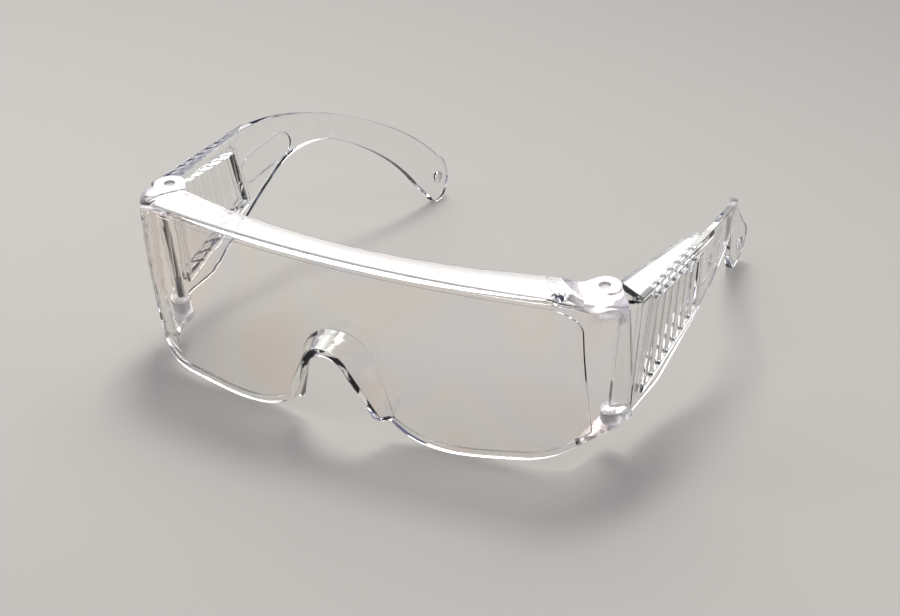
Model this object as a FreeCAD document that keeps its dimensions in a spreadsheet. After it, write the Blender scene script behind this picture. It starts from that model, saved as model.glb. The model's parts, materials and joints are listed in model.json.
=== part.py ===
import FreeCAD, Part
import math
import os
from FreeCAD import Placement, Rotation, Vector

# Clear one-piece over-glasses with two folding temples.
#
# Everything is drawn in the front piece's own upright frame, then the whole
# object is leaned back onto the surface it rests on:
#   +X  to the side (the object is symmetric about X = 0)
#   +Y  from the lens towards the ear tips
#   +Z  up, along the hinge axes
# All lengths are millimetres and all angles are degrees.

SIZES = (
    # the lens and its side walls
    ("wall", 2.2),              # moulded thickness of the front piece
    ("lens_radius", 375.0),     # plan radius of the lens
    ("corner_x", 57.3),         # where the lens turns into the side wall
    ("corner_radius", 15.0),
    ("corner_x_low", 49.0),     # the same two at the bottom edge
    ("corner_radius_low", 21.0),
    ("side_x", 75.6),           # rear edge of the side wall
    ("side_y", 22.3),
    ("brow_top", 55.1),         # top of the brow guard
    ("side_top", 46.9),         # top of the side wall at its rear edge
    ("brow_depth", 8.0),        # brow guard, front to back, at the middle
    ("brow_rear_x", 57.4),      # outer end of the brow guard's rear edge
    ("brow_rear_y", 16.4),
    ("step_depth", 0.4),        # the viewing window is let in by this much
    ("window_x", 67.6),         # half width of that window
    ("window_top", 52.4),
    ("window_corner", 9.0),
    ("window_sill", 2.3),       # height of the rim left below the window
    # the nose bridge: a hood that leans forward and narrows as it goes
    ("root_apex", 33.6),        # outside of the arch, at the back of the lens
    ("root_radius", 12.9),
    ("root_splay", 12.0),
    ("root_foot", 8.8),
    ("rim_apex", 31.8),         # outside of the arch, at the front rim
    ("rim_radius", 7.6),
    ("rim_splay", 27.0),
    ("rim_foot", 11.4),
    ("hood_reach", 7.7),        # how far the rim stands in front of the lens
    ("hood_reach_foot", 4.6),
    ("hood_wall", 2.4),
    # hinges
    ("hinge_x", 67.1),
    ("hinge_y", 24.4),
    ("pin_radius", 1.6),
    ("pin_slack", 0.05),        # running clearance of a pin in the front piece
    ("pin_sunk", 0.8),          # top of an upper pin below its lug's flat
    ("hinge_gap", 0.3),         # between a knuckle and the lug beside it
    ("lug_radius", 4.4),
    ("lug_top", 50.4),          # flat top of an upper hinge lug
    ("lug_heading", 40.0),      # plan direction from the brow guard to a lug
    ("lug_ramp", 7.1),          # length of the slope down to the flat
    ("ramp_ease", 2.6),         # rounding at both ends of that slope
    ("lug_low", 47.4),
    ("knuckle_radius", 4.2),
    ("knuckle_low", 42.8),      # upper knuckle of a temple
    ("web_top", 45.4),          # web from that knuckle to the plate
    ("web_width", 3.4),
    ("web_front", 0.2),         # its front face, ahead of the hinge axis
    ("web_overlap", 1.2),       # how far it runs into the plate
    ("web_step", 1.0),          # lower web's top below its knuckle's top
    ("shelf_top", 9.6),         # lower hinge shelf
    ("shelf_wall", 2.0),
    ("boss_radius", 3.4),
    ("boss_low", 7.4),
    ("lower_knuckle_radius", 3.4),
    ("lower_knuckle_offset", 0.9),
    ("lower_knuckle_top", 13.6),
    ("knuckle_roof", 1.0),      # plastic left at the closed end of a pin seat
    # temples
    ("plate", 2.0),             # thickness of a temple
    ("temple_x", 76.2),         # outer face of the straight part
    ("temple_front", 27.9),
    ("lip_x", 71.4),            # inner end of the lip in front of the plate
    ("lip_y", 23.8),
    ("lip_top", 45.4),
    ("straight_end", 68.0),
    ("temple_high", 46.8),      # top edge at temple_high_y, and its fall
    ("temple_high_y", 24.5),
    ("temple_fall", 0.083),
    ("shield_rear", 45.5),      # rear end of the shield's flat foot
    ("sweep_radius", 128.0),    # plan radius of the arm's inward sweep
    ("sweep_turn", 24.2),       # how far the arm sweeps in
    ("tail_radius", 66.0),      # and then straightens again
    ("tail_turn", 26.4),
    ("lean", 7.0),              # the temple's foot leans towards the head
    ("lean_level", 45.5),       # height at which temple_x is measured
    ("arm_radius", 114.4),      # side-view radius of the arm's back
    ("ledge_rise", 0.3),        # slope of the top ledge towards the head
    ("ledge_wall", 2.0),
    ("slat_wall", 1.2),
    ("slat_depth", 4.6),
    ("slat_turn", -38.0),
    ("slats", 6),
    ("rim_proud", 0.9),         # raised rim round the louvre
    ("rim_width", 1.4),
    ("recess_depth", 0.4),      # oblong panel behind the louvre
    ("recess_radius", 3.8),
    ("cord_hole_radius", 1.6),
    ("cord_hole_y", 144.3),
    ("cord_hole_z", -5.4),
    # how the whole object rests
    ("rest_tilt", 6.05),
    ("rest_lift", -2.464),
    ("rest_shift", -69.38),
)

doc = FreeCAD.newDocument("safety_glasses")
sheet = doc.addObject("Spreadsheet::Sheet", "Sizes")
for row, (name, value) in enumerate(SIZES, start=1):
    sheet.set("A%d" % row, name)
    sheet.set("B%d" % row, str(value))
    sheet.setAlias("B%d" % row, name)
doc.recompute()


def size(name):
    """A driving dimension, read from the sheet."""
    return float(sheet.get(name))


# Flat outlines are drawn on a plane ahead of the nose rim and pushed back
# through the whole front; plans are pushed up through its whole height.
AHEAD = -30.0
THROUGH = 90.0

REST = Placement(
    Vector(0, size("rest_shift"), size("rest_lift")),
    Rotation(Vector(1, 0, 0), size("rest_tilt")),
)


# --- small helpers ---------------------------------------------------------

def feature(label, shape):
    """A free-form moulded shape as a document object."""
    item = doc.addObject("Part::Feature", label)
    item.Shape = shape.Solids[0]
    return item


def cylinder(label, x, y, z, radius, height):
    """A cylinder along +Z whose radius and height are sheet expressions."""
    item = doc.addObject("Part::Cylinder", label)
    item.setExpression("Radius", radius)
    item.setExpression("Height", height)
    item.Placement = Placement(Vector(x, y, z), Rotation())
    return item


def fused(label, items):
    item = doc.addObject("Part::MultiFuse", label)
    item.Shapes = items
    item.Refine = True
    return item


def cut(label, base, tool):
    item = doc.addObject("Part::Cut", label)
    item.Base = base
    item.Tool = tool
    item.Refine = True
    return item


def line(a, b):
    return Part.LineSegment(a, b).toShape()


def arc(a, via, b):
    return Part.Arc(a, via, b).toShape()


def face(edges):
    return Part.Face(Part.Wire(edges))


def polygon(points):
    return Part.Face(Part.makePolygon(points + [points[0]]))


def mirrored(points):
    """The same points on the other side of X = 0, in reverse order."""
    return [Vector(-p.x, p.y, p.z) for p in reversed(points)]


# --- the front piece -------------------------------------------------------

def plan_points(corner_x, corner_radius, inset, level):
    """Half of the wall's plan: lens middle, corner start, corner middle,
    corner end and rear edge, moved inwards by inset."""
    radius = size("lens_radius")
    tip = Vector(size("side_x"), size("side_y"), 0)
    turn = math.asin(corner_x / radius)
    inward = Vector(-math.sin(turn), math.cos(turn), 0)
    start = Vector(corner_x, radius - radius * math.cos(turn), 0)
    centre = start + inward * corner_radius
    to_tip = tip - centre
    heading = math.atan2(to_tip.y, to_tip.x)
    end_angle = heading - math.acos(corner_radius / to_tip.Length)
    mid_angle = (turn - math.pi / 2 + end_angle) / 2
    rho = corner_radius - inset

    def on_corner(angle):
        return centre + Vector(math.cos(angle), math.sin(angle), 0) * rho

    outward = Vector(math.cos(end_angle), math.sin(end_angle), 0)
    lift = Vector(0, 0, level)
    return [
        Vector(0, inset, 0) + lift,
        start + inward * inset + lift,
        on_corner(mid_angle) + lift,
        on_corner(end_angle) + lift,
        tip - outward * inset + lift,
    ]


def wall_section(corner_x, corner_radius, near, far, level):
    """Closed plan wire of the wall between two depths below its outer face."""
    def run(inset):
        half = plan_points(corner_x, corner_radius, inset, level)
        other = mirrored(half)
        return other[:-1] + half

    outer = run(near)
    inner = run(far)
    edges = []
    for pts in (outer, list(reversed(inner))):
        edges.append(line(pts[0], pts[1]))
        edges.append(arc(pts[1], pts[2], pts[3]))
        edges.append(arc(pts[3], pts[4], pts[5]))
        edges.append(arc(pts[5], pts[6], pts[7]))
        edges.append(line(pts[7], pts[8]))
    edges.insert(5, line(outer[8], inner[8]))
    edges.append(line(inner[0], outer[0]))
    return Part.Wire(edges)


def wrapped_wall(near, far):
    """The lens and side walls: the corner eases out towards the bottom."""
    low = (size("corner_x_low"), size("corner_radius_low"))
    high = (size("corner_x"), size("corner_radius"))
    middle = ((low[0] + 3 * high[0]) / 4, (low[1] + 3 * high[1]) / 4)
    levels = (
        (low, 0.0),
        (middle, 0.33 * size("brow_top")),
        (high, size("brow_top") + 1.0),
    )
    wires = [wall_section(c, r, near, far, z) for (c, r), z in levels]
    return Part.makeLoft(wires, True, False)


def front_outline():
    """Front view of the piece: brow, lugs, side edges and bottom edge."""
    top = size("brow_top")
    lug = size("side_top")
    side = size("side_x")

    def at(x, z):
        return Vector(x, AHEAD, z)

    half_top = [at(60.0, top), at(66.8, top - 3.3), at(side - 0.6, lug)]
    half_side = [at(side - 0.6, lug), at(side, 30.0), at(side - 1.6, 15.6)]
    half_low = [
        at(72.4, 11.8), at(67.6, 9.1), at(61.4, 6.4), at(49.6, 4.2),
        at(39.3, 2.8), at(29.5, 2.4), at(21.0, 4.2), at(14.6, 8.6),
    ]

    def spline(points):
        curve = Part.BSplineCurve()
        curve.interpolate(points)
        return curve.toShape()

    edges = []
    for sign in (1, -1):
        def on_side(points):
            return [Vector(sign * p.x, p.y, p.z) for p in points]
        a = on_side(half_top)
        b = on_side(half_side)
        c = on_side(half_low)
        edges += [
            line(Vector(0, AHEAD, top), a[0]), arc(*a),
            arc(*b), spline([b[2]] + c), line(c[-1], Vector(0, AHEAD, c[-1].z)),
        ]
    return face(Part.__sortEdges__(edges))


def window_prism():
    """Front view of the viewing window, open at the bottom."""
    x = size("window_x")
    top = size("window_top")
    r = size("window_corner")
    corner = r * (1 - math.sqrt(0.5))
    below = -5.0

    def at(across, z):
        return Vector(across, AHEAD, z)

    edges = []
    for sign in (1, -1):
        edges += [
            line(at(0, top), at(sign * (x - r), top)),
            arc(at(sign * (x - r), top), at(sign * (x - corner), top - corner),
                at(sign * x, top - r)),
            line(at(sign * x, top - r), at(sign * x, below)),
            line(at(sign * x, below), at(0, below)),
        ]
    return face(Part.__sortEdges__(edges)).extrude(Vector(0, THROUGH, 0))


def arch_points(apex, radius, splay, foot, inset, depth):
    """Foot, springing, apex, springing, foot of an arch; depth(z) is its Y."""
    tilt = math.radians(splay)
    rho = radius - inset
    mid = apex - radius
    spring = Vector(rho * math.cos(tilt), 0, mid + rho * math.sin(tilt))
    reach = (spring.z - foot) * math.tan(tilt)
    half = [
        Vector(0, 0, mid + rho),
        spring,
        Vector(spring.x + reach, 0, foot),
    ]
    pts = mirrored(half)[:-1] + half
    return [Vector(p.x, depth(p.z), p.z) for p in pts]


def arch_band(apex, radius, splay, foot, depth):
    outer = arch_points(apex, radius, splay, foot, 0, depth)
    inner = arch_points(apex, radius, splay, foot, size("hood_wall"), depth)
    inner.reverse()
    edges = []
    for pts, following in ((outer, inner), (inner, outer)):
        edges += [line(pts[0], pts[1]), arc(*pts[1:4]), line(pts[3], pts[4])]
        edges.append(line(pts[4], following[0]))
    return Part.Wire(edges)


def root_arch():
    return (size("root_apex"), size("root_radius"), size("root_splay"), size("root_foot"))


def nose_hood():
    """Band between the arch at the back of the lens and the forward rim."""
    rim = (size("rim_apex"), size("rim_radius"), size("rim_splay"), size("rim_foot"))
    rise = size("rim_apex") - size("rim_foot")
    slope = (size("hood_reach") - size("hood_reach_foot")) / rise

    def rim_depth(z):
        return slope * (size("rim_apex") - z) - size("hood_reach")

    back = arch_band(*root_arch(), lambda z: size("wall"))
    front = arch_band(*rim, rim_depth)
    return Part.makeLoft([back, front], True, True)


def nose_gap():
    """Everything inside the arch, from below the lens up."""
    pts = arch_points(*root_arch(), size("hood_wall"), lambda z: AHEAD)
    below = -8.0
    left = Vector(pts[0].x, AHEAD, below)
    right = Vector(pts[4].x, AHEAD, below)
    edges = [
        line(pts[0], pts[1]), arc(*pts[1:4]), line(pts[3], pts[4]),
        line(pts[4], right), line(right, left), line(left, pts[0]),
    ]
    return face(edges).extrude(Vector(0, THROUGH, 0))


def top_plan():
    """Plan of the brow guard and the two hinge lugs behind it."""
    front = plan_points(size("corner_x"), size("corner_radius"), 0.6, 0)
    hinge = Vector(size("hinge_x"), size("hinge_y"), 0)
    rear = Vector(size("brow_rear_x"), size("brow_rear_y"), 0)

    def on_lug(angle):
        turn = math.radians(angle)
        return hinge + Vector(math.cos(turn), math.sin(turn), 0) * size("lug_radius")

    back = on_lug(60)
    via = on_lug(105)
    inner = on_lug(150)
    edges = []
    for sign in (1, -1):
        def on_side(p):
            return Vector(sign * p.x, p.y, p.z)
        f = [on_side(p) for p in front]
        edges += [
            arc(f[1], f[2], f[3]), line(f[3], f[4]),
            line(f[4], on_side(back)),
            arc(on_side(back), on_side(via), on_side(inner)),
            line(on_side(inner), on_side(rear)),
        ]
    start = front[1]
    edges.append(arc(Vector(-start.x, start.y, 0), front[0], start))
    edges.append(arc(Vector(-rear.x, rear.y, 0), Vector(0, size("brow_depth"), 0), rear))
    return face(Part.__sortEdges__(edges))


def top_flange():
    """The brow guard and lugs: a band in front view, trimmed in plan."""
    outline = front_outline().extrude(Vector(0, THROUGH, 0))
    below = outline.copy()
    below.translate(Vector(0, 0, -size("wall")))
    plan = top_plan().extrude(Vector(0, 0, THROUGH))
    high = Part.makeBox(200, 120, 40, Vector(-100, -40, size("side_top") - size("wall")))
    band = outline.cut(below).common(high)
    lugs = both_sides(lug_prism(size("lug_low") - size("lug_top")))
    return band.multiFuse([lug.common(outline) for lug in lugs]).common(plan)


def lug_prism(rise):
    """Block between a right-hand lug's top, ramp included, and that top
    moved up by rise."""
    high = size("brow_top")
    flat = size("lug_top")
    ease = size("ramp_ease")
    slope = math.atan2(high - flat, size("lug_ramp"))
    dip = ease * math.tan(slope / 2) / 2

    def run(lift):
        """Far edge, ramp and flat, each bend eased into an arc."""
        crest = Vector(0, 0, high + lift)
        toe = Vector(size("lug_ramp"), 0, flat + lift)
        down = (toe - crest).normalize() * ease
        level = Vector(ease, 0, 0)
        return [
            crest - level - Vector(0, 0, dip / 4), crest - Vector(0, 0, dip), crest + down,
            toe - down, toe + Vector(0, 0, dip), toe + level, toe + Vector(40, 0, 0),
        ]

    near = run(0)
    far = run(rise)
    edges = [line(near[0], far[0]), line(near[-1], far[-1])]
    for pts in (near, far):
        edges += [arc(*pts[0:3]), line(pts[2], pts[3]), arc(*pts[3:6]), line(pts[5], pts[6])]
    block = face(Part.__sortEdges__(edges)).extrude(Vector(0, 60, 0))
    block.translate(Vector(0, -30, 0))
    block.rotate(Vector(0, 0, 0), Vector(0, 0, 1), size("lug_heading"))
    block.translate(Vector(size("brow_rear_x"), size("brow_rear_y"), 0))
    return block


def both_sides(shape):
    return [shape, shape.mirror(Vector(0, 0, 0), Vector(1, 0, 0))]


def lower_shelf(sign):
    """Shelf from the side wall to a lower hinge boss, trimmed below by the
    bottom edge of the front."""
    hinge = Vector(size("hinge_x"), size("hinge_y"), 0)
    r = size("boss_radius")
    low = size("shelf_top") - size("shelf_wall")
    plan = [(63.0, 11.0), (hinge.x - r, hinge.y), (hinge.x + r, hinge.y), (72.0, 20.2)]
    points = [Vector(sign * x, y, low) for x, y in plan]
    shelf = polygon(points).extrude(Vector(0, 0, size("shelf_wall")))
    return shelf.common(front_outline().extrude(Vector(0, THROUGH, 0)))


def front_shell():
    outline = front_outline().extrude(Vector(0, THROUGH, 0))
    wall = wrapped_wall(0.0, size("wall"))
    skin = wrapped_wall(-0.5, size("step_depth"))
    above_sill = outline.copy()
    above_sill.translate(Vector(0, 0, size("window_sill")))
    window = skin.common(window_prism()).common(above_sill)
    shell = wall.common(outline).cut(window)
    shell = shell.cut(nose_gap())
    parts = [top_flange(), nose_hood(), lower_shelf(1), lower_shelf(-1)]
    shell = shell.multiFuse(parts)
    for step in both_sides(lug_prism(20)):
        shell = shell.cut(step)
    return shell.removeSplitter()


def make_front():
    solids = [feature("front_shell", front_shell())]
    holes = []
    for side, sign in (("left", -1), ("right", 1)):
        x = sign * size("hinge_x")
        y = size("hinge_y")
        solids += [
            cylinder("lower_boss_" + side, x, y, size("boss_low"),
                     "Sizes.boss_radius", "Sizes.shelf_top - Sizes.boss_low"),
            cylinder("upper_boss_" + side, x, y, size("lug_low"),
                     "Sizes.lug_radius", "Sizes.lug_top - Sizes.lug_low"),
        ]
        holes += [
            cylinder("knuckle_room_" + side, x, y, size("knuckle_low"),
                     "Sizes.knuckle_radius + Sizes.hinge_gap",
                     "Sizes.lug_low - Sizes.knuckle_low"),
            cylinder("lower_bore_" + side, x, y, size("boss_low") - 1,
                     "Sizes.pin_radius + Sizes.pin_slack",
                     "Sizes.shelf_top - Sizes.boss_low + 2"),
            cylinder("upper_bore_" + side, x, y, size("lug_low") - 1,
                     "Sizes.pin_radius + Sizes.pin_slack",
                     "Sizes.lug_top - Sizes.lug_low + 2"),
        ]
    body = fused("front_body", solids)
    return cut("lens_front", body, fused("front_holes", holes))


# --- a temple --------------------------------------------------------------

def lean_shift(level):
    """How far a temple's face moves towards the head at this height."""
    return (size("lean_level") - level) * math.tan(math.radians(size("lean")))


def temple_plan(inset, outset):
    """Plan of the plate, lip to tail, as a face at the lean level."""
    x = size("temple_x")
    bend = size("straight_end")
    radius = size("sweep_radius")
    turn = math.radians(size("sweep_turn"))
    centre = Vector(x - radius, bend, 0)
    tail = size("tail_radius")
    back = math.radians(size("tail_turn"))

    def offset_run(shift):
        """Lip end, front corner, bend, sweep and tail, moved out by shift."""
        def swept(angle):
            return centre + Vector(math.cos(angle), math.sin(angle), 0) * (radius + shift)

        def tailed(angle):
            hub = centre + Vector(math.cos(turn), math.sin(turn), 0) * (radius + tail)
            return hub - Vector(math.cos(angle), math.sin(angle), 0) * (tail - shift)

        lip = Vector(size("lip_x"), size("lip_y"), 0)
        corner = Vector(x, size("temple_front"), 0)
        side = (corner - lip).normalize()
        mitre = Vector(1, -(1 - side.y) / side.x, 0) * shift
        return [
            lip + Vector(side.y, -side.x, 0) * shift,
            corner + mitre,
            Vector(x + shift, bend, 0),
            swept(turn / 2), swept(turn),
            tailed(turn - back / 2), tailed(turn - back),
        ]

    outer = offset_run(outset)
    inner = offset_run(-inset)
    edges = []
    for run in (outer, inner):
        edges += [
            line(run[0], run[1]), line(run[1], run[2]),
            arc(*run[2:5]), arc(*run[4:7]),
        ]
    edges += [line(outer[0], inner[0]), line(outer[-1], inner[-1])]
    return face(Part.__sortEdges__(edges))


def leaning(plan, low, high):
    """A plan face extruded along the temple's lean between two heights."""
    base = plan.copy()
    base.translate(Vector(-lean_shift(low), 0, low))
    rise = high - low
    return base.extrude(Vector(rise * math.tan(math.radians(size("lean"))), 0, rise))


def side_prism_of(outline):
    """A side-view face, drawn at X = 0, pushed out through the temple."""
    return outline.extrude(Vector(110, 0, 0))


def side_prism(edges):
    return side_prism_of(face(edges))


def at_side(y, z):
    return Vector(0, y, z)


def temple_top(y):
    """Height of the straight part's top edge."""
    return size("temple_high") - size("temple_fall") * (y - size("temple_high_y"))


def temple_outline():
    """Side view: deep shield at the front, arched arm, rounded tip."""
    front = size("temple_front")
    bend = size("straight_end") - 1.0
    radius = size("arm_radius")
    slope = math.atan(size("temple_fall"))
    centre = at_side(bend, temple_top(bend)) - Vector(0, math.sin(slope), math.cos(slope)) * radius

    def back(angle):
        turn = math.radians(angle)
        return centre + Vector(0, math.sin(turn), math.cos(turn)) * radius

    first = math.degrees(slope)
    last = 51.0
    foot = size("shelf_top") + size("hinge_gap")
    lip = size("lip_top")
    ahead = 20.0
    low = at_side(141.4, -12.5)
    heel = at_side(139.0, -10.2)
    ankle = at_side(133.5, -2.7)
    knee = at_side(106.4, 24.2)
    crook = at_side(80.0, 22.9)
    return [
        line(at_side(front, temple_top(front)), at_side(bend, temple_top(bend))),
        arc(at_side(bend, temple_top(bend)), back((first + last) / 2), back(last)),
        arc(back(last), at_side(149.6, -7.6), low),
        arc(low, at_side(140.0, -11.8), heel),
        line(heel, ankle),
        arc(ankle, at_side(120.8, 13.6), knee),
        arc(knee, at_side(93.4, 26.6), crook),
        line(crook, at_side(size("shield_rear"), foot)),
        line(at_side(size("shield_rear"), foot), at_side(ahead, foot)),
        line(at_side(ahead, foot), at_side(ahead, lip)),
        line(at_side(ahead, lip), at_side(front, lip)),
        line(at_side(front, lip), at_side(front, temple_top(front))),
    ]


# Corners of the louvre in side view, from the top front one round.
LOUVRE = ((37.0, 41.6), (64.2, 38.6), (65.8, 22.6), (34.4, 15.4))


def louvre_outline(grow):
    """Side view of the louvre, grown outwards on every side."""
    points = [at_side(y, z) for y, z in LOUVRE]
    wire = Part.makePolygon(points + [points[0]])
    if grow == 0:
        return Part.Face(wire)
    return Part.Face(wire.makeOffset2D(grow, 2))


def louvre_slats():
    """Upright slats, each turned so that nothing flies straight through."""
    count = int(size("slats"))
    first = LOUVRE[0][0]
    last = LOUVRE[1][0]
    pitch = (last - first) / count
    high = 50.0
    slats = []
    for index in range(count):
        slat = Part.makeBox(size("slat_depth"), size("slat_wall"), high,
                            Vector(-size("slat_depth") / 2, -size("slat_wall") / 2, 0))
        slat.rotate(Vector(0, 0, 0), Vector(0, 0, 1), size("slat_turn"))
        slat.rotate(Vector(0, 0, 0), Vector(0, 1, 0), size("lean"))
        y = first + pitch * (index + 0.5)
        slat.translate(Vector(size("temple_x") - size("plate") / 2 - lean_shift(0), y, 0))
        slats.append(slat)
    return slats


def top_ledge():
    """The ledge that runs in from the top of the plate towards the head."""
    def at(x, y):
        return Vector(x, y, temple_top(y) + size("ledge_rise") * (size("temple_x") - x))

    x = size("temple_x")
    points = [
        at(x, 28.2), at(x, 68.0), at(75.9, 74.0), at(71.8, 64.0),
        at(68.6, 31.2), at(69.6, 29.8),
    ]
    top = Part.makePolygon(points + [points[0]])
    return Part.Face(top).extrude(Vector(0, 0, -size("ledge_wall")))


def oblong():
    """Side view of the shallow rounded panel behind the louvre."""
    r = size("recess_radius")
    a = at_side(70.7, 30.0)
    b = at_side(87.0, 30.6)
    up = Vector(0, 0, r)
    along = Vector(0, r, 0)
    return side_prism([
        line(a + up, b + up), arc(b + up, b + along, b - up),
        line(b - up, a - up), arc(a - up, a - along, a + up),
    ])


def cord_hole():
    """Cross hole near the tip, square to the side view."""
    middle = at_side(size("cord_hole_y"), size("cord_hole_z"))
    return Part.makeCylinder(size("cord_hole_radius"), 110, middle, Vector(1, 0, 0))


def temple_shell():
    low, high = -30, 60
    thick = size("plate")
    proud = size("rim_proud")
    plate = leaning(temple_plan(thick, 0), low, high)
    rim = leaning(temple_plan(thick + proud, proud), low, high)
    deep = leaning(temple_plan(20, 20), low, high)
    skin = leaning(temple_plan(thick + 1, -(thick - size("recess_depth"))), low, high)
    window = side_prism_of(louvre_outline(0))
    frame = side_prism_of(louvre_outline(size("rim_width")))
    seat = side_prism_of(louvre_outline(0.3))
    shell = plate.common(side_prism(temple_outline()))
    shell = shell.fuse(rim.common(frame)).cut(window.common(deep))
    shell = shell.cut(skin.common(oblong())).cut(cord_hole())
    slats = [slat.common(seat) for slat in louvre_slats()]
    return shell.multiFuse(slats + [top_ledge()]).removeSplitter()


def make_temple(side, sign):
    shell = temple_shell()
    if sign < 0:
        shell = shell.mirror(Vector(0, 0, 0), Vector(1, 0, 0))
    x = sign * size("hinge_x")
    y = size("hinge_y")
    low = size("knuckle_low")
    upper = cylinder("upper_knuckle_" + side, x, y, low, "Sizes.knuckle_radius",
                     "Sizes.lug_low - Sizes.hinge_gap - Sizes.knuckle_low")
    lower = doc.addObject("Part::Prism", "lower_knuckle_" + side)
    lower.Polygon = 8
    lower.setExpression("Circumradius", "Sizes.lower_knuckle_radius")
    lower.setExpression("Height", "Sizes.lower_knuckle_top - Sizes.shelf_top - Sizes.hinge_gap")
    lower.Placement = Placement(
        Vector(x + sign * size("lower_knuckle_offset"), y, size("shelf_top") + size("hinge_gap")),
        Rotation(Vector(0, 0, 1), 22.5))
    webs = []
    for name, base, top in (
        ("upper", low, "Sizes.web_top - Sizes.knuckle_low"),
        ("lower", size("shelf_top") + size("hinge_gap"),
         "Sizes.lower_knuckle_top - Sizes.shelf_top - Sizes.hinge_gap - Sizes.web_step"),
    ):
        web = doc.addObject("Part::Box", "%s_web_%s" % (name, side))
        web.setExpression("Length", "Sizes.lip_x - Sizes.hinge_x + Sizes.web_overlap")
        web.setExpression("Width", "Sizes.web_width")
        web.setExpression("Height", top)
        reach = size("lip_x") - size("hinge_x") + size("web_overlap")
        corner = Vector(min(x, x + sign * reach), y - size("web_front"), base)
        web.Placement = Placement(corner, Rotation())
        webs.append(web)
    solids = [feature("temple_shell_" + side, shell), upper, lower] + webs
    holes = [
        cylinder("upper_seat_" + side, x, y, low + size("knuckle_roof"),
                 "Sizes.pin_radius", "Sizes.lug_top - Sizes.knuckle_low"),
        cylinder("lower_seat_" + side, x, y, 0, "Sizes.pin_radius",
                 "Sizes.lower_knuckle_top - Sizes.knuckle_roof"),
    ]
    return cut("temple_" + side, fused("temple_body_" + side, solids),
               fused("temple_seats_" + side, holes))


def make_pins(side, sign):
    x = sign * size("hinge_x")
    y = size("hinge_y")
    upper = cylinder("hinge_pin_upper_" + side, x, y, size("knuckle_low") + size("knuckle_roof"),
                     "Sizes.pin_radius",
                     "Sizes.lug_top - Sizes.pin_sunk - Sizes.knuckle_low - Sizes.knuckle_roof")
    lower = cylinder("hinge_pin_lower_" + side, x, y, size("boss_low"),
                     "Sizes.pin_radius",
                     "Sizes.lower_knuckle_top - Sizes.knuckle_roof - Sizes.boss_low")
    return [upper, lower]


nodes = [make_front()]
for side, sign in (("left", -1), ("right", 1)):
    nodes.append(make_temple(side, sign))
    nodes += make_pins(side, sign)
doc.recompute()

for node in nodes:
    node.Placement = REST.multiply(node.Placement)
doc.recompute()

for item in doc.Objects:
    if "Invalid" in item.State or "Error" in item.State:
        raise RuntimeError("%s failed to build: %s" % (item.Label, item.State))

os.makedirs("parts", exist_ok=True)
for node in nodes:
    shape = node.Shape
    if shape.isNull() or not shape.isValid():
        raise RuntimeError("%s has no valid shape" % node.Label)
    box = shape.BoundBox
    print("%-26s solids %d  volume %8.1f  X %.2f %.2f  Y %.2f %.2f  Z %.2f %.2f" % (
        node.Label, len(shape.Solids), shape.Volume,
        box.XMin, box.XMax, box.YMin, box.YMax, box.ZMin, box.ZMax))
    shape.exportStep("parts/%s.step" % node.Label)
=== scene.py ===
import json
import math

import bpy
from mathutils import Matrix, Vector


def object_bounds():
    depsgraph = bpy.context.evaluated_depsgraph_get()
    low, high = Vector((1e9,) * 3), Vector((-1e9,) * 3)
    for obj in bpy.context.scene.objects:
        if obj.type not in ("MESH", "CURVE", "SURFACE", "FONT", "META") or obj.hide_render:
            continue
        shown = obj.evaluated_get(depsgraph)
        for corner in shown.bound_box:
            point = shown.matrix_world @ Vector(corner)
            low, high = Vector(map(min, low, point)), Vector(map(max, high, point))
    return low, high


# Clear over-spectacles on a pale studio floor. Metres, in the CAD frame:
# +X to the side, +Y from the lens to the temple tips, +Z up.

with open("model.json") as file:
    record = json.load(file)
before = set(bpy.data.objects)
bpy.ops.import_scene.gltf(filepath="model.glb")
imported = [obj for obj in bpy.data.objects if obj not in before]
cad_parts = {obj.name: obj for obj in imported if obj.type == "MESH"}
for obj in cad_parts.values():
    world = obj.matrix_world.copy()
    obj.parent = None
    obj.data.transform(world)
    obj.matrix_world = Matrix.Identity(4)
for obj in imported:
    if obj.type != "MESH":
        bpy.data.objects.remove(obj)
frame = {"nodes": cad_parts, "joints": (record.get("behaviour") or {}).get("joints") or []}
cad_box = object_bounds()
low, high = Vector(cad_box[0]), Vector(cad_box[1])
centre = (low + high) / 2
length = high.y - low.y

MM = 0.001

# Clear plastic. A tint of 1 is water-clear.
POLYCARBONATE_IOR = 1.585
NO_TINT = (1.0, 1.0, 1.0)
# Violet tint where the plastic is grazed: partly the plastic's own edge tint, partly a painted
# reflection of the darker room that the moulded edges bend.
EDGE_TINT_AND_PAINTED_REFLECTION = (0.70, 0.71, 0.95)
EDGE_TINT_AND_PAINTED_REFLECTION_BLEND = 0.3
EDGE_TINT_AND_PAINTED_REFLECTION_FROM = 0.55
LENS_TINTS = [
    (0.32, (1.0, 0.92, 0.88)),
    (0.42, (0.96, 0.98, 0.95)),
    (0.48, (1.0, 0.95, 0.91)),
    (0.56, (0.95, 0.95, 0.97)),
    (0.66, (1.0, 0.93, 0.89)),
]
CLEAR_TINTS = [
    (0.3, (0.975, 0.98, 0.985)),
    (0.7, (0.985, 0.985, 0.98)),
]
SHADOW_TINTS = [
    (0.0, (0.83, 0.83, 0.84)),
    (0.6, (0.62, 0.62, 0.63)),
    (1.0, (0.08, 0.08, 0.09)),
]
SHADOW_BLEND = 0.5

# Patterns: scales in features per metre, height in metres.
TINT_SCALE = 24.0
GLOSS_SCALE = 60.0
WAVE_SCALE = 45.0
WAVE_HEIGHT = 0.4 * MM

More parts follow.
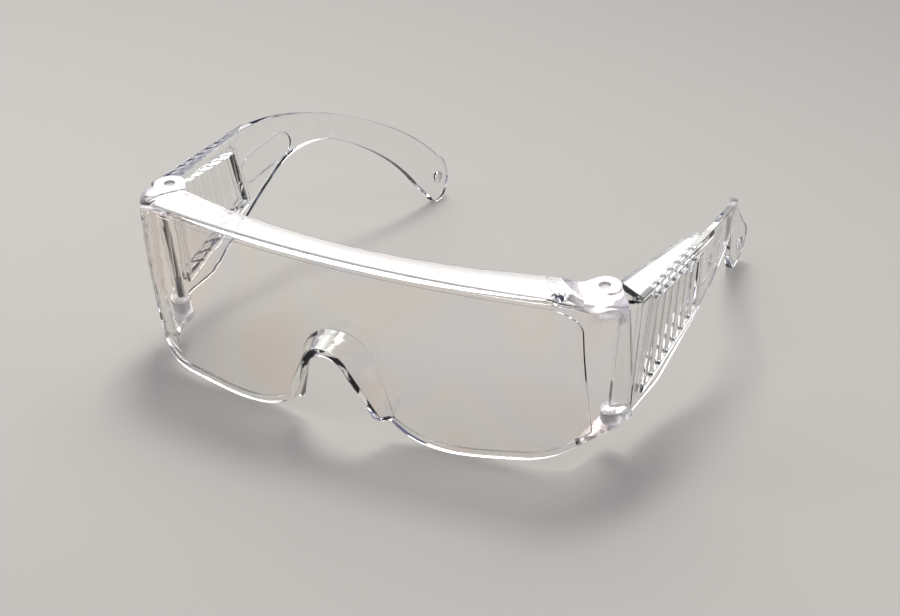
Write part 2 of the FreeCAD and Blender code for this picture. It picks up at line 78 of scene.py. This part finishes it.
# Painted highlights on the hinge knuckles and lugs: the plastic there is made rougher and less
# clear, so it shows white. Each spot gives where it starts and is full along the hinge axis,
# measured from the joint, then the radius that is full and the one where it ends.
HINGE_HIGHLIGHT_ROUGHNESS = 0.28
HINGE_HIGHLIGHT_CLARITY = 0.66
LOWER_HIGHLIGHT_SPOT = (-13.0 * MM, -14.5 * MM, 4.6 * MM, 5.6 * MM)
UPPER_HIGHLIGHT_SPOT = (12.5 * MM, 13.5 * MM, 4.4 * MM, 5.2 * MM)
LUG_HIGHLIGHT_SPOT = (17.0 * MM, 18.5 * MM, 6.0 * MM, 12.5 * MM)

# Moulded edges, in the meshes and in the shading.
WELD_DISTANCE = 0.002 * MM
SHARP_ANGLE = math.radians(32)
EDGE_SEGMENTS = 2
FACE_WEIGHT = 60
BEVEL_SAMPLES = 6

# Floor paper, lighter near the camera: the darkening away from the camera is painted shade.
PAPER_NEAR = (0.364, 0.350, 0.309)
PAPER_FAR_WITH_PAINTED_SHADE = (0.126, 0.123, 0.112)
PAPER_ROUGHNESS = 0.75
PAINTED_SHADE_START = -1.0 * length
PAINTED_SHADE_END = 4.0 * length
GRAIN_SCALE = 900.0
GRAIN_DEPTH = 0.02
FLOOR_SIZE = 30 * length
FLOOR_GAP = 0.2 * MM

# Soft lamps: name, direction from the object, distance, width, depth, watts.
LAMPS = [
    ("key_softbox", (-0.2, 0.36, 0.9), 1.1, 0.34, 0.34, 9.5),
    ("rear_softbox", (-0.43, 0.785, 0.62), 1.9, 2.1, 1.25, 36.0),
    ("front_fill", (-0.2, -0.9, 1.5), 2.4, 1.6, 1.2, 6.0),
    ("left_card", (-1.0, -0.5, 0.45), 0.9, 0.25, 0.6, 2.0),
    ("right_card", (1.0, 0.35, 0.5), 0.9, 0.25, 0.6, 2.0),
]
LAMP_COLOUR = (1.0, 0.99, 0.975)
ROOM_COLOUR = (0.56, 0.58, 1.0, 1.0)
ROOM_STRENGTH = 0.25

# The camera looks at a point beside the object's centre.
CAMERA_AZIMUTH = math.radians(28.76)
CAMERA_ELEVATION = math.radians(26.48)
CAMERA_DISTANCE = 0.7513
CAMERA_AIM = Vector((0.9, -12.3, -15.9)) * MM
CAMERA_LENS = 105.5
CAMERA_CLIP = 0.01


# --- node helpers ------------------------------------------------------------

def new_material(name):
    """An empty material, its node tree and its output node."""
    material = bpy.data.materials.new(name)
    material.use_nodes = True
    nodes = material.node_tree.nodes
    nodes.clear()
    output = nodes.new("ShaderNodeOutputMaterial")
    return material, material.node_tree, output


def add(tree, kind, **values):
    """A node with its properties, or its named inputs, set."""
    node = tree.nodes.new(kind)
    for key, value in values.items():
        if hasattr(node, key):
            setattr(node, key, value)
        else:
            node.inputs[key.replace("_", " ")].default_value = value
    return node


def feed(tree, node, values):
    """Set or link a node's inputs in order: sockets are linked, the rest set."""
    for index, value in enumerate(values):
        if isinstance(value, bpy.types.NodeSocket):
            tree.links.new(value, node.inputs[index])
        else:
            node.inputs[index].default_value = value


def maths(tree, operation, *values):
    """Result of a maths node on sockets or numbers."""
    node = add(tree, "ShaderNodeMath", operation=operation)
    feed(tree, node, values)
    return node.outputs[0]


def vector_maths(tree, operation, result, *values):
    """Named result of a vector maths node on sockets or tuples."""
    node = add(tree, "ShaderNodeVectorMath", operation=operation)
    feed(tree, node, values)
    return node.outputs[result]


def noise(tree, position, scale, detail=2.0):
    """Noise from 0 to 1 at a position."""
    node = add(tree, "ShaderNodeTexNoise", Scale=scale, Detail=detail)
    tree.links.new(position, node.inputs["Vector"])
    return node.outputs["Fac"]


def ramp(tree, factor, stops):
    """Colour ramp from (position, colour) stops."""
    node = tree.nodes.new("ShaderNodeValToRGB")
    elements = node.color_ramp.elements
    while len(elements) < len(stops):
        elements.new(1.0)
    for element, (position, colour) in zip(elements, stops):
        element.position = position
        element.color = (*colour, 1.0)
    tree.links.new(factor, node.inputs["Fac"])
    return node.outputs["Color"]


def spread(tree, factor, low_value, high_value):
    """Factor 0 to 1 spread between two values."""
    node = tree.nodes.new("ShaderNodeMapRange")
    node.inputs["To Min"].default_value = low_value
    node.inputs["To Max"].default_value = high_value
    tree.links.new(factor, node.inputs["Value"])
    return node.outputs["Result"]


def smooth_mask(tree, value, start, stop):
    """0 at start, easing to 1 at stop."""
    falling = start > stop
    mask = add(tree, "ShaderNodeMapRange", interpolation_type="SMOOTHSTEP")
    mask.inputs["From Min"].default_value = min(start, stop)
    mask.inputs["From Max"].default_value = max(start, stop)
    mask.inputs["To Min"].default_value = 1.0 if falling else 0.0
    mask.inputs["To Max"].default_value = 0.0 if falling else 1.0
    tree.links.new(value, mask.inputs["Value"])
    return mask.outputs["Result"]


def one_side(tree, position):
    """The position with its X made positive, so both halves match."""
    apart = tree.nodes.new("ShaderNodeSeparateXYZ")
    tree.links.new(position, apart.inputs["Vector"])
    across = maths(tree, "ABSOLUTE", apart.outputs["X"])
    joined = tree.nodes.new("ShaderNodeCombineXYZ")
    feed(tree, joined, (across, apart.outputs["Y"], apart.outputs["Z"]))
    return joined.outputs["Vector"]


# --- materials ---------------------------------------------------------------

def painted_hinge_highlight(tree, place, highlight_spots):
    """1 inside the painted highlight spots along the hinge axis, where the plastic is frosted white,
    0 elsewhere.
    """
    joint = frame["joints"][0]
    x, y, z = joint["pos_m"]
    axis = tuple(joint["axis"])
    arm = vector_maths(tree, "SUBTRACT", "Vector", one_side(tree, place), (abs(x), y, z))
    turned = vector_maths(tree, "CROSS_PRODUCT", "Vector", arm, axis)
    away = vector_maths(tree, "LENGTH", "Value", turned)
    along = vector_maths(tree, "DOT_PRODUCT", "Value", arm, axis)
    masks = []
    for start, full, core, edge in highlight_spots:
        radial = smooth_mask(tree, away, edge, core)
        axial = smooth_mask(tree, along, start, full)
        masks.append(maths(tree, "MULTIPLY", radial, axial))
    return maths(tree, "MAXIMUM", *masks)


def stress_tints_and_painted_edge_reflection(tree, place, tints):
    """Stress tints inside the plastic, and a violet tint where it is grazed that is partly its own
    edge tint and partly a painted reflection of the darker room.
    """
    tint = ramp(tree, noise(tree, place, TINT_SCALE, 1.0), tints)
    grazing = add(tree, "ShaderNodeLayerWeight", Blend=EDGE_TINT_AND_PAINTED_REFLECTION_BLEND).outputs["Facing"]
    edge_tint_and_painted_reflection = ramp(tree, grazing, [(EDGE_TINT_AND_PAINTED_REFLECTION_FROM, NO_TINT), (1.0, EDGE_TINT_AND_PAINTED_REFLECTION)])
    return vector_maths(tree, "MULTIPLY", "Vector", tint, edge_tint_and_painted_reflection)


def moulded_normal(tree, place, waviness, edge_radius):
    """Rounded edges and the slight waves of a moulded face."""
    rounded = add(tree, "ShaderNodeBevel", samples=BEVEL_SAMPLES, Radius=edge_radius)
    bump = add(tree, "ShaderNodeBump", Strength=waviness, Distance=WAVE_HEIGHT)
    tree.links.new(noise(tree, place, WAVE_SCALE), bump.inputs["Height"])
    tree.links.new(rounded.outputs["Normal"], bump.inputs["Normal"])
    return bump.outputs["Normal"]


def lamp_stand_in(tree):
    """What lamp light passes through instead of glass: darker where grazed."""
    facing = add(tree, "ShaderNodeLayerWeight", Blend=SHADOW_BLEND).outputs["Facing"]
    through = tree.nodes.new("ShaderNodeBsdfTransparent")
    tree.links.new(ramp(tree, facing, SHADOW_TINTS), through.inputs["Color"])
    return through.outputs["BSDF"]


def clear_plastic(name, tints, gloss, waviness, edge_radius, highlight_spots):
    """Clear moulded polycarbonate. Gloss is the lowest and highest roughness."""
    material, tree, output = new_material(name)
    place = tree.nodes.new("ShaderNodeTexCoord").outputs["Object"]
    painted_highlight = painted_hinge_highlight(tree, place, highlight_spots)
    polish = spread(tree, noise(tree, place, GLOSS_SCALE, 4.0), *gloss)

    glass = add(tree, "ShaderNodeBsdfPrincipled", IOR=POLYCARBONATE_IOR)
    inputs = {
        "Base Color": stress_tints_and_painted_edge_reflection(tree, place, tints),
        # Rougher, less clear plastic in the hinge spots: a painted highlight that turns them white.
        "Roughness": maths(tree, "MULTIPLY_ADD", painted_highlight, HINGE_HIGHLIGHT_ROUGHNESS, polish),
        "Transmission Weight": spread(tree, painted_highlight, 1.0, HINGE_HIGHLIGHT_CLARITY),
        "Normal": moulded_normal(tree, place, waviness, edge_radius),
    }
    for socket, value in inputs.items():
        tree.links.new(value, glass.inputs[socket])

    path = tree.nodes.new("ShaderNodeLightPath")
    from_lamp = maths(tree, "MAXIMUM", path.outputs["Is Shadow Ray"], path.outputs["Is Diffuse Ray"])
    mix = tree.nodes.new("ShaderNodeMixShader")
    feed(tree, mix, (from_lamp, glass.outputs["BSDF"], lamp_stand_in(tree)))
    tree.links.new(mix.outputs["Shader"], output.inputs["Surface"])
    return material


def floor_material():
    """Pale paper with a fine grain, darkening with distance as painted shade."""
    material, tree, output = new_material("studio_floor")
    place = tree.nodes.new("ShaderNodeTexCoord").outputs["Object"]
    split = tree.nodes.new("ShaderNodeSeparateXYZ")
    tree.links.new(place, split.inputs["Vector"])
    # Painted shade: the paper darkens away from the camera.
    painted_shade = smooth_mask(tree, split.outputs["Y"], PAINTED_SHADE_START, PAINTED_SHADE_END)
    grain = spread(tree, noise(tree, place, GRAIN_SCALE), -GRAIN_DEPTH, GRAIN_DEPTH)
    painted_shade_and_grain = maths(tree, "ADD", painted_shade, grain)
    paper = add(tree, "ShaderNodeBsdfPrincipled", Roughness=PAPER_ROUGHNESS)
    tone = ramp(tree, painted_shade_and_grain, [(0.0, PAPER_NEAR), (1.0, PAPER_FAR_WITH_PAINTED_SHADE)])
    tree.links.new(tone, paper.inputs["Base Color"])
    tree.links.new(paper.outputs["BSDF"], output.inputs["Surface"])
    return material


lens_plastic = clear_plastic(
    "clear_lens_plastic", tints=LENS_TINTS, gloss=(0.0, 0.03), waviness=0.05,
    edge_radius=0.5 * MM, highlight_spots=[LOWER_HIGHLIGHT_SPOT, LUG_HIGHLIGHT_SPOT])
temple_plastic = clear_plastic(
    "clear_temple_plastic", tints=CLEAR_TINTS, gloss=(0.0, 0.05), waviness=0.08,
    edge_radius=0.45 * MM, highlight_spots=[LOWER_HIGHLIGHT_SPOT, UPPER_HIGHLIGHT_SPOT])
pin_plastic = clear_plastic(
    "clear_pin_plastic", tints=CLEAR_TINTS, gloss=(0.04, 0.12), waviness=0.1,
    edge_radius=0.2 * MM, highlight_spots=[LOWER_HIGHLIGHT_SPOT, UPPER_HIGHLIGHT_SPOT])


# --- the three mouldings and their pins --------------------------------------

def finish_node(name, material, edge_radius):
    """Give a CAD node its plastic and the small radius of a moulded edge."""
    node = frame["nodes"][name]
    for slot in node.material_slots:
        slot.material = material
    weld = node.modifiers.new("weld", "WELD")
    weld.merge_threshold = WELD_DISTANCE
    edge = node.modifiers.new("moulded_edge", "BEVEL")
    edge.width = edge_radius
    edge.segments = EDGE_SEGMENTS
    edge.limit_method = "ANGLE"
    edge.angle_limit = SHARP_ANGLE
    edge.miter_outer = "MITER_ARC"
    edge.loop_slide = True
    shading = node.modifiers.new("shading", "WEIGHTED_NORMAL")
    shading.keep_sharp = False
    shading.weight = FACE_WEIGHT


for node_name in frame["nodes"]:
    if node_name == "lens_front":
        finish_node(node_name, lens_plastic, edge_radius=0.3 * MM)
    elif node_name.startswith("temple"):
        finish_node(node_name, temple_plastic, edge_radius=0.25 * MM)
    else:
        finish_node(node_name, pin_plastic, edge_radius=0.15 * MM)


# --- stage, light and camera -------------------------------------------------

def studio_floor():
    """Paper floor just under the object."""
    bpy.ops.mesh.primitive_grid_add(x_subdivisions=2, y_subdivisions=2, size=FLOOR_SIZE,
                                    location=(centre.x, centre.y, low.z - FLOOR_GAP))
    floor = bpy.context.object
    floor.name = "floor"
    floor.data.materials.append(floor_material())


def softbox(name, direction, distance, width, depth, power):
    """Rectangular lamp that looks at the middle of the object."""
    lamp = bpy.data.lights.new(name, "AREA")
    lamp.shape = "RECTANGLE"
    lamp.size = width
    lamp.size_y = depth
    lamp.energy = power
    lamp.color = LAMP_COLOUR
    holder = bpy.data.objects.new(name, lamp)
    bpy.context.scene.collection.objects.link(holder)
    away = Vector(direction).normalized()
    holder.location = centre + away * distance
    holder.rotation_euler = away.to_track_quat("Z", "Y").to_euler()


def studio_camera():
    """Three-quarter view from the front, above and to the right."""
    level = math.cos(CAMERA_ELEVATION)
    back = Vector((math.sin(CAMERA_AZIMUTH) * level,
                   -math.cos(CAMERA_AZIMUTH) * level,
                   math.sin(CAMERA_ELEVATION)))
    data = bpy.data.cameras.new("camera")
    data.lens = CAMERA_LENS
    data.clip_start = CAMERA_CLIP
    camera = bpy.data.objects.new("camera", data)
    bpy.context.scene.collection.objects.link(camera)
    camera.location = centre + CAMERA_AIM + back * CAMERA_DISTANCE
    camera.rotation_euler = back.to_track_quat("Z", "Y").to_euler()
    bpy.context.scene.camera = camera


def studio_world():
    """Weak cool light from the rest of the room."""
    world = bpy.data.worlds.new("studio")
    world.use_nodes = True
    bpy.context.scene.world = world
    background = world.node_tree.nodes["Background"]
    background.inputs["Color"].default_value = ROOM_COLOUR
    background.inputs["Strength"].default_value = ROOM_STRENGTH


studio_floor()
for lamp_row in LAMPS:
    softbox(*lamp_row)
studio_world()
studio_camera()
bpy.context.scene.view_settings.view_transform = "Standard"
